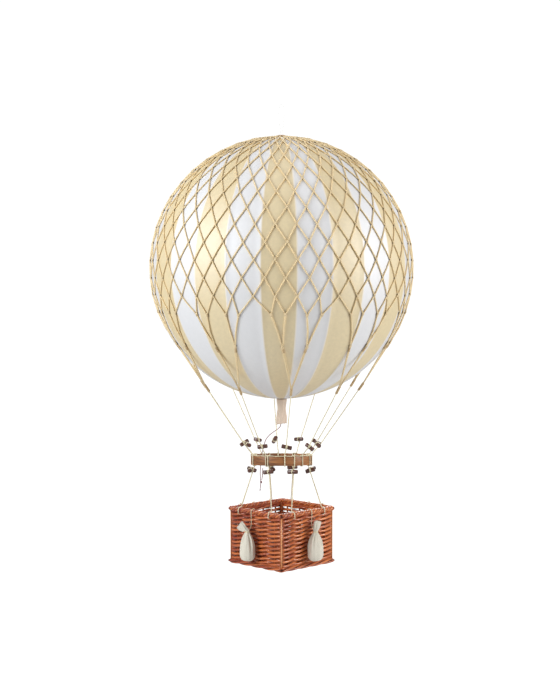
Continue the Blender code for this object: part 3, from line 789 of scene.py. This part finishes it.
toggle_wood = wooden("toggle_wood", (0.16, 0.055, 0.034), (0.045, 0.015, 0.010), 0.36, on_object, 700.0, 0.5,
                     Coat_Weight=0.4, Coat_Roughness=0.22)
for number, azimuth in enumerate(FOOT_AZIMUTHS):
    join, at_toggle = polar(azimuth, *STAY_JOIN), polar(azimuth, *STAY_TOGGLE)
    start = join + (at_toggle - join).normalized() * STAY_START
    centre, axis, side = toggle_place(start, at_toggle, 1.0, STAY_TOGGLE_TURNS[number])
    label = f"{number + 1:02d}"
    toggle_stick(f"stay_stick_{label}", centre, axis, number, f"stay_toggle_{label}")
    upper = [start.lerp(at_toggle, share) for share in (0.0, 0.25, 0.5, 0.75, 0.97)]
    hooped = hitch(azimuth, True)
    becket = [at_toggle, at_toggle.lerp(hooped[0], 0.5) + side * 0.0004, *hooped]
    corded(f"stay_rope_{label}", [upper + [at_toggle], eye(centre, axis, -side), becket], STAY_CORD / 2, pale_cord,
           "pale_cord", replaced=f"stay_{label}", sides=8)

# Basket lines: eight, two to each corner, hitched up round the hoop with a toggle under it, and passed over the
# basket's rim and in through the weave below it.

BASKET_HALF = 0.0476
RIM_R = 0.0030
RIM_TOP = -0.2910
OVER_RIM = RIM_R + 0.0003  # from the rim's middle to the underside of a cord over it
BASKET_LINE_FROM_CORNER = 0.0216
BASKET_LINE_SPREAD_DEG = 25.0
BASKET_LINE_TUCK = 0.0070
BASKET_TOGGLE_TURNS = (15, -70, 40, -10, 60, -45, 0, 30)


def over_rim(angle, along, side, reach):
    """A point round the rim of one side: its angle from level outwards, and its distance from the rim's middle."""
    out = BASKET_HALF - RIM_R + reach * cos(radians(angle))
    height = RIM_TOP - RIM_R + reach * sin(radians(angle))
    return Matrix.Rotation(side * pi / 2, 3, "Z") @ Vector((out, along, BALL_Z + height))


reach = OVER_RIM + STAY_CORD / 2
for number, turn in enumerate(BASKET_TOGGLE_TURNS):
    side_number, hand_side = number // 2, (-1, 1)[number % 2]
    azimuth = side_number * 90 + hand_side * (45 - BASKET_LINE_SPREAD_DEG) - FRONT_DEG
    along = hand_side * (BASKET_HALF - BASKET_LINE_FROM_CORNER)
    head = on_hoop(HOOP_R - HOOP_WALL / 2, azimuth, -top - 0.0003 - STAY_CORD / 2)
    bend = [over_rim(angle, along, side_number, reach) for angle in (115, 80, 45, 10)]
    tuck = over_rim(0, along, side_number, reach)
    tuck.z = BALL_Z + RIM_TOP - BASKET_LINE_TUCK
    in_weave = over_rim(0, along, side_number, -0.0006)
    in_weave.z = tuck.z - 0.0012
    centre, axis, side = toggle_place(head, bend[0], 0.13, turn)
    label = str(number + 1)
    toggle_stick(f"basket_stick_{label}", centre, axis, 20 + number, f"basket_toggle_{label}")
    down = [head.lerp(bend[0], share) for share in (0.0, 0.1, 0.35, 0.6, 0.85)]
    routes = [[*reversed(hitch(azimuth, False)), *down, *bend, tuck, in_weave], eye(centre, axis, -side)]
    corded(f"basket_rope_{label}", routes, STAY_CORD / 2, pale_cord, "pale_cord", replaced=f"basket_line_{label}",
           sides=8)

# The basket: split willow stained red-brown and varnished. Twelve rows of paired rods twist round sixteen stakes,
# under a plaited rim and over a twisted base border. Its floor is woven over five sticks.

WALL_MIDDLE = 0.0430
WALL_CORNER_R = 0.0014
STAKE_R = 0.0011
CORNER_STAKE = 2.0  # how many times thicker the stakes in the corners are
ROD_R = 0.00160
ROD_SWING = 0.00165  # how far a rod's middle goes in and out of the wall's middle
ROD_LIFT = 0.00112
ROD_LAG = 0.40  # how late a pair crosses, so that at a stake the outer rod lies a little under the inner one
ROWS = 12
BAYS = 16
BASE_R = 0.0028
BASE_BOTTOM = -0.3612
FLOOR_RODS, FLOOR_STICKS = 45, 5
FLOOR_ROD_R, FLOOR_WAVE = 0.00098, 0.0008
# the third willow colour is painted shade, for deep in the work
WILLOW, WILLOW_RED, WILLOW_DEEP_SHADE = (0.90, 0.28, 0.075), (0.30, 0.033, 0.011), (0.07, 0.010, 0.004)
PEELED, PEELED_DARK = (0.92, 0.46, 0.20), (0.66, 0.24, 0.08)
wall_top = RIM_TOP - 2 * RIM_R
wall_bottom = BASE_BOTTOM + 2 * BASE_R
row_height = (wall_top - wall_bottom) / ROWS


def round_square(share, half, corner, out=0.0):
    """A point on a square with round corners, from its share of the way round, moved outwards by out. Shares of a
    quarter are the corners, and the first is between +X and +Y."""
    side = share * 4 % 4 + 0.5
    quarter, reach_along = int(side) % 4, (side % 1.0 - 0.5) * 2 * half
    inner_half = half - corner
    if abs(reach_along) < corner:
        turn = radians(45) + reach_along / corner * radians(45)
        place = Vector((inner_half + (corner + out) * cos(turn), inner_half + (corner + out) * sin(turn)))
    elif reach_along < 0:
        place = Vector((half + out, half + reach_along))
    else:
        place = Vector((half - reach_along, half + out))
    return Matrix.Rotation(quarter * pi / 2, 2) @ place


willow = random.Random(7)
rods, thickness = [], []
POINTS = 12
for row in range(ROWS):
    level = wall_top - row_height * (row + 0.5)
    sway = willow.uniform(0, tau)
    for ply in range(2):
        route, widths = [], []
        size = willow.uniform(0.90, 1.08)
        uneven = [willow.uniform(-1.0, 1.0) for bay in range(BAYS)]
        for step in range(BAYS * POINTS):
            bay = step / POINTS
            phase = pi * (bay + 0.5 + ply + row % 2)
            bulge = uneven[int(bay)] * sin(pi * (bay % 1.0)) ** 2
            rise = ROD_LIFT * sin(phase - ROD_LAG) + 0.00022 * sin(3 * tau * bay / BAYS + sway) + 0.00028 * bulge
            spot = round_square(bay / BAYS, WALL_MIDDLE, WALL_CORNER_R, ROD_SWING * cos(phase))
            route.append(Vector((spot.x, spot.y, BALL_Z + level + rise)))
            loose = 0.82 if row < 3 and 0 < bay < BAYS / 2 else 1.0  # the back walls are thin at the top
            widths.append(size * loose * (1.0 + 0.08 * bulge))
        rods.append(route)
        thickness.append(widths)


def willow_rod(name, light, dark, out, height=None, painted_shade_reach=(0.0, 0.0016)):
    """Varnished willow: each rod has its own red-brown to orange, streaked along it, and the rods on the viewer's right
    are painted lighter, as painted light. Near the middle of the work the colour goes to a painted shade, nearly black,
    and the varnish coat fades with it: that middle is, for a wall, at a distance out from the axis, and for a border at
    a height too."""
    look, tree, shader = material(name, 0.32, Specular_IOR_Level=0.3, Coat_Roughness=0.18)
    strand = node(tree, "Attribute", attribute_name="strand").outputs["Fac"]
    flat = flat_place(tree)
    along = node(tree, "CombineXYZ", flat[0], times(tree, flat[1], 0.008), times(tree, strand, 3.0)).outputs[0]
    streak = placed(tree, wood_grain, Place=along, Streaks=1500.0, Stretch=0.05)["Streak"]
    patch = placed(tree, specks, Grains=45.0, Low=0.3, High=0.7)["Amount"]
    spot = split(tree, on_object(tree))
    # painted light: the rods towards the viewer's right are made lighter
    sideways = ranged(tree, maths(tree, "ADD", spot[0], spot[1]), -0.08, 0.08, 0.0, 0.35)
    share = maths(tree, "ADD", times(tree, strand, 0.55), times(tree, patch, 0.55))
    share = maths(tree, "ADD", maths(tree, "SUBTRACT", share, 0.18), sideways)
    share = times(tree, share, ranged(tree, streak, 0.0, 1.0, 0.65, 1.0))
    # painted shade: dark near the wall's middle, between the rods and round the stakes, with less varnish gloss there
    sizes = [maths(tree, "ABSOLUTE", axis) for axis in spot[:2]]
    middle = maths(tree, "ABSOLUTE", maths(tree, "SUBTRACT", maths(tree, "MAXIMUM", *sizes), out))
    if height:
        middle = diagonal(tree, middle, maths(tree, "SUBTRACT", spot[2], BALL_Z + height))
    clear_of_painted_shade = ranged(tree, middle, *painted_shade_reach)
    colour = between(tree, clear_of_painted_shade, WILLOW_DEEP_SHADE, between(tree, share, dark, light))
    feed(shader, Base_Color=colour, Coat_Weight=times(tree, clear_of_painted_shade, 0.7))
    raised(tree, shader, streak, 0.00012, 0.5)
    return look


wall_willow = willow_rod("wall_willow", WILLOW, WILLOW_RED, WALL_MIDDLE)
# the rim's plait and the base border darken to painted shade near their middle lines, between the strands
rim_willow = willow_rod("rim_willow", WILLOW, WILLOW_RED, BASKET_HALF - RIM_R, RIM_TOP - RIM_R, (0.0018, 0.0028))
base_willow = willow_rod("base_willow", WILLOW, WILLOW_RED, BASKET_HALF - BASE_R, BASE_BOTTOM + BASE_R,
                         (0.0016, 0.0026))
corner_willow = willow_rod("corner_willow", PEELED, PEELED_DARK, 0.0)


def wicker(name, routes, radius, look, replaced=None, sides=8, **shape):
    corded(name, routes, radius, look, "varnished_wicker", replaced=replaced, sides=sides, **shape)


wicker("basket_weave", rods, ROD_R, wall_willow, "basket_wall", closed=True, widths=thickness)

# thin rods fill the lines between the rows, thick ones the wall's top and bottom; two at the top miss the back walls.
# They lie in the wall's middle, so they take its painted shade and stand in for the dark gaps between the rods
shade_fillings = []
for row in range(ROWS + 1):
    start = 0.5 if 0 < row < 3 else 0.0
    shade_filling = [round_square(start + (1.0 - start) * step / 192, WALL_MIDDLE, WALL_CORNER_R) for step in range(193)]
    shade_fillings.append([Vector((spot.x, spot.y, BALL_Z + wall_top - row_height * row)) for spot in shade_filling])
fullness = [[1.0 if row in (0, ROWS) else 0.5] * 193 for row in range(ROWS + 1)]
wicker("basket_shade_fillings", shade_fillings, ROD_R, wall_willow, "basket_wall", sides=6, widths=fullness)


def upright(share, out=0.0):
    """A post up the wall, from the base border into the rim, with a slight lean."""
    spot = round_square(share, WALL_MIDDLE, WALL_CORNER_R, out)
    lean = willow.uniform(-0.0003, 0.0003)
    foot, length = BALL_Z + wall_bottom - 0.002, wall_top - wall_bottom + 0.004
    return [Vector((spot.x + lean * up, spot.y - lean * up, foot + length * up)) for up in (0.0, 0.5, 1.0)]


# the stakes stand in the wall's middle, so they take its painted shade
posts = [upright((bay + 0.5) / BAYS) for bay in range(BAYS)] + [upright(corner / 4, -0.0010) for corner in range(4)]
girths = [[1.0] * 3] * BAYS + [[CORNER_STAKE] * 3] * 4
wicker("basket_stakes", posts, STAKE_R, wall_willow, "basket_wall", widths=girths)
wicker("basket_corner_rods", [upright(corner / 4, ROD_R + 0.0002) for corner in range(4)], 0.0007, corner_willow)


def plait(count, half, corner, height, spread, lays, steps, wobble):
    """Strands twisted round one line that follows the basket's square. Gives the strands' routes."""
    routes = []
    for strand in range(count):
        route = []
        for share in [step / steps for step in range(steps)]:
            turn = tau * (lays * share + strand / count)
            spot = round_square(share, half, corner, spread * cos(turn))
            rise = spread * sin(turn) + wobble * sin(tau * 5 * share + strand)
            route.append(Vector((spot.x, spot.y, BALL_Z + height + rise)))
        routes.append(route)
    return routes


rim = plait(4, BASKET_HALF - RIM_R, 0.0020, RIM_TOP - RIM_R, 0.00155, 18, 288, 0.00012)
wicker("basket_rim_plait", rim, 0.00150, rim_willow, "basket_rim", closed=True)
base = plait(3, BASKET_HALF - BASE_R, 0.0016, BASE_BOTTOM + BASE_R, 0.00138, 6, 192, 0.0001)
wicker("basket_base_border", base, 0.00152, base_willow, "basket_base", closed=True)

low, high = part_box("basket_floor")
middle, reach_out = (low.z + high.z) / 2, high.x - 0.0006
floor_rods = []
for number in range(FLOOR_RODS):
    across = (number / (FLOOR_RODS - 1) * 2 - 1) * (reach_out - 0.001)
    waves = [middle + FLOOR_WAVE * cos(pi * (step / 5 + number)) for step in range(31)]
    floor_rods.append([Vector((reach_out * (step / 15 - 1), across, wave)) for step, wave in enumerate(waves)])
for number in range(FLOOR_STICKS):
    across = (number / (FLOOR_STICKS - 1) * 2 - 1) * 0.0302
    floor_rods.append([Vector((across, reach_out * (step / 4 - 1), middle)) for step in range(9)])
wicker("basket_floor_weave", floor_rods, FLOOR_ROD_R, wall_willow, "basket_floor")

# Sandbags: four little bags of undyed calico, filled, gathered at the neck with a cord and hung over the rim.
# Above the neck the spare cloth stands up in a soft tuft. Each swings out on its cord.

BAG_OFFSET = 0.0035
BAG_OUT = 0.0548
BAG_CORD = 0.0009
BAG_FLATNESS = 0.78
BAG_NECK = -0.3170
BAG_HOOK_DEG = (130, 112, 92, 66, 34, 0)  # places of the cord round the rim, from level outwards
BAG_CLOTH = (0.052, 0.056)
BAG_ROWS = (  # radius and height of the filled bag and its tuft, from the top down
    (0.0047, -0.3038), (0.0048, -0.3066), (0.0045, -0.3098), (0.0037, -0.3130), (0.0027, -0.3157), (0.0025, -0.3171),
    (0.0034, -0.3188), (0.0050, -0.3215), (0.0069, -0.3251), (0.0085, -0.3293), (0.0097, -0.3345), (0.0103, -0.3400),
    (0.0103, -0.3446), (0.0097, -0.3479), (0.0081, -0.3504), (0.0054, -0.3518), (0.0024, -0.3522),
)
# each tuft's lean, along the wall and out from it for each step up, and how wide and how thick it is, over its radius
BAG_TUFTS = ((0.16, 0.16, 1.15, 0.60), (-0.35, 0.15, 1.30, 0.50), (0.30, 0.10, 1.20, 0.55), (-0.95, 0.55, 1.55, 0.45))
BAG_FOLDS = ((3, 0.25), (6, 0.40), (9, 0.40), (13, 0.25))  # how many go round a bag, and how deep they are
calico = woven("calico", (0.93, 0.88, 0.77), (0.63, 0.58, 0.47), 2400.0)


def bag_point(across, down, side_number, folds):
    """A point of one bag, from its share round it and down it."""
    place = down * (len(BAG_ROWS) - 1)
    row = min(int(place), len(BAG_ROWS) - 2)
    share = place - row
    share = share * share * (3 - 2 * share) * 0.3 + share * 0.7
    (radius, height), below = BAG_ROWS[row], BAG_ROWS[row + 1]
    radius += (below[0] - radius) * share
    height += (below[1] - height) * share
    turn = tau * across
    over_neck = max(0.0, (height - BAG_NECK) / 0.0133)
    near_neck = max(0.0, 1.0 - abs(height - BAG_NECK) / 0.024)
    waves = sum(size * sin(count * turn + start + twist * height / 0.02) for count, size, start, twist in folds)
    radius *= 1.0 + waves * (0.32 * near_neck + 0.045)
    if height <= BAG_NECK:
        return Vector((BAG_OUT + radius * cos(turn) * BAG_FLATNESS, radius * sin(turn), BALL_Z + height))
    lean_along, lean_out, wide, thick = BAG_TUFTS[side_number]
    bend = min(1.0, over_neck * 3)
    upwards = Vector((lean_out * bend, lean_along * bend, 1.0)).normalized()
    sideways = (Vector((0.0, 1.0, 0.0)) - upwards * upwards.y).normalized()
    wide = 1.0 + (wide - 1.0) * min(1.0, over_neck * 1.5)
    thick = BAG_FLATNESS + (thick - BAG_FLATNESS) * min(1.0, over_neck * 2)
    place = upwards * (height - BAG_NECK) + sideways * (radius * wide * sin(turn))
    crease = 0.0010 * over_neck * sin(2.2 * sin(turn) + folds[0][2])
    place += sideways.cross(upwards) * (radius * thick * cos(turn) + crease)
    return Vector((BAG_OUT, 0.0, BALL_Z + BAG_NECK)) + place


for side_number in range(4):
    stitch = random.Random(30 + side_number)
    folds = [(count, size, stitch.uniform(0, tau), stitch.uniform(-0.8, 0.8)) for count, size in BAG_FOLDS]
    offset = BAG_OFFSET * (1 if side_number % 2 == 0 else -1)
    wall_turn = Matrix.Rotation(side_number * pi / 2, 4, "Z") @ Matrix.Translation((0.0, offset, 0.0))
    bag_shape = bent_cloth(64, 64, BAG_CLOTH, lambda across, down: bag_point(across, down, side_number, folds))
    rims = [edge for edge in bag_shape.edges if edge.is_boundary]
    bottom = [edge for edge in rims if edge.verts[0].co.z < BALL_Z + BAG_NECK]
    bmesh.ops.holes_fill(bag_shape, edges=bottom, sides=0)
    top_rim = [edge for edge in rims if edge.verts[0].co.z > BALL_Z + BAG_NECK]
    sunk = bmesh.ops.extrude_edge_only(bag_shape, edges=top_rim)["geom"]
    sunk_verts = [part for part in sunk if isinstance(part, bmesh.types.BMVert)]
    middle_of_top = sum((vert.co for vert in sunk_verts), Vector()) / len(sunk_verts)
    for vert in sunk_verts:
        vert.co = middle_of_top + (vert.co - middle_of_top) * 0.80 - Vector((0, 0, 0.0010))
    sunk_rim = [part for part in sunk if isinstance(part, bmesh.types.BMEdge) and part.is_boundary]
    bmesh.ops.holes_fill(bag_shape, edges=sunk_rim, sides=0)
    bmesh.ops.triangulate(bag_shape, faces=[face for face in bag_shape.faces if len(face.verts) > 4])
    bmesh.ops.transform(bag_shape, matrix=wall_turn, verts=bag_shape.verts)
    bmesh.ops.recalc_face_normals(bag_shape, faces=bag_shape.faces)
    label = str(side_number + 1)
    body = f"sandbag_{label}_swing"
    bag_mesh = smooth_mesh(f"calico_bag_{label}", bag_shape)
    bag = fitted(f"calico_bag_{label}", bag_mesh, calico, body, f"sandbag_{label}")

    hook = [over_rim(angle, offset, side_number, OVER_RIM + BAG_CORD / 2) for angle in BAG_HOOK_DEG]
    bag_neck, behind, halfway = [wall_turn @ Vector((out, 0.0, BALL_Z + BAG_NECK + rise)) for out, rise in (
        (BAG_OUT, 0.0), (BAG_OUT - 0.0024, 0.0012), (WALL_MIDDLE + 0.0052, 0.0072))]
    outwards, sideways, _ = wall_turn.to_3x3().transposed()
    rise = Vector((0, 0, 0.0010))
    tie = wound(bag_neck + rise, bag_neck - rise, outwards * -0.0022, sideways * 0.0025, 2.5, 40)
    corded(f"bag_tie_{label}", [smooth_route([*hook, halfway, behind], 0.0012), tie], BAG_CORD / 2, pale_cord,
           "pale_cord", body, f"sandbag_cord_{label}", sides=8)
